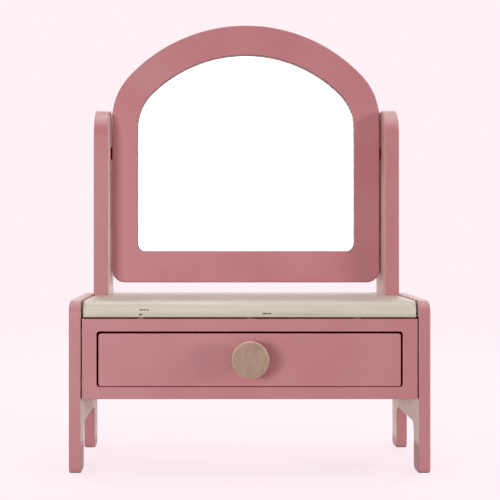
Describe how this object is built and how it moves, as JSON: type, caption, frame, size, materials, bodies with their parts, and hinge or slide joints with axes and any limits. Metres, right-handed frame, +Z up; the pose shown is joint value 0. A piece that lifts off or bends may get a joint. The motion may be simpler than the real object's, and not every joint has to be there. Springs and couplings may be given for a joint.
{
  "type": "toy dressing table",
  "caption": "Table-top toy dressing table: two leg panels, wooden top, one drawer with a round knob, and an arched tilting mirror between two posts.",
  "frame": {"origin": "on the surface it stands on, midway in width and midway between the knob face and the rear edges", "axes": "+X to the right as one sits at it, +Y from the front to the rear, +Z up"},
  "size_m": [0.3, 0.16, 0.3915],
  "materials": {
    "pink_paint": "satin",
    "tabletop_wood": "satin",
    "knob_wood": "satin",
    "plain_wood": "matte",
    "plywood": "matte",
    "dowel_wood": "matte",
    "mirror_plate": "polished",
    "foam": "matte",
    "backboard": "matte",
    "plated_steel": "satin",
    "brass": "satin",
    "washer": "matte"
  },
  "bodies": {
    "carcass": {"tabletop": "tabletop_wood", "front_frame": "pink_paint", "back_panel": "pink_paint", "floor_panel": "plywood", "tabletop_dowels": "dowel_wood", "side_panel_left": "pink_paint", "side_panel_right": "pink_paint", "side_dowels_left": "dowel_wood", "side_dowels_right": "dowel_wood", "drawer_guide_left": "plain_wood", "drawer_guide_right": "plain_wood", "guide_screws_left": "plated_steel", "guide_screws_right": "plated_steel", "mirror_post_left": "pink_paint", "mirror_post_right": "pink_paint", "post_screws_left": "plated_steel", "post_screws_right": "plated_steel"},
    "mirror": {"mirror_frame": "pink_paint", "mirror_plate": "mirror_plate", "mirror_pad": "foam", "mirror_backboard": "backboard", "backboard_screws": "plated_steel", "pivot_bolt_left": "plated_steel", "pivot_bolt_right": "plated_steel", "pivot_insert_left": "brass", "pivot_insert_right": "brass", "pivot_washer_left": "washer", "pivot_washer_right": "washer"},
    "drawer": {"drawer_front": "pink_paint", "drawer_back": "plain_wood", "drawer_bottom": "plywood", "drawer_dowels": "dowel_wood", "drawer_knob": "knob_wood", "knob_screw": "plated_steel", "drawer_side_left": "plain_wood", "drawer_side_right": "plain_wood"}
  },
  "joints": [
    {"name": "drawer_slide", "type": "slide", "parent": "carcass", "child": "drawer", "axis": [0, -1, 0], "range_m": [0, 0.095]},
    {"name": "mirror_tilt", "type": "hinge", "parent": "carcass", "child": "mirror", "pos_m": [0, 0.05425, 0.2736], "axis": [-1, 0, 0], "continuous": true}
  ]
}
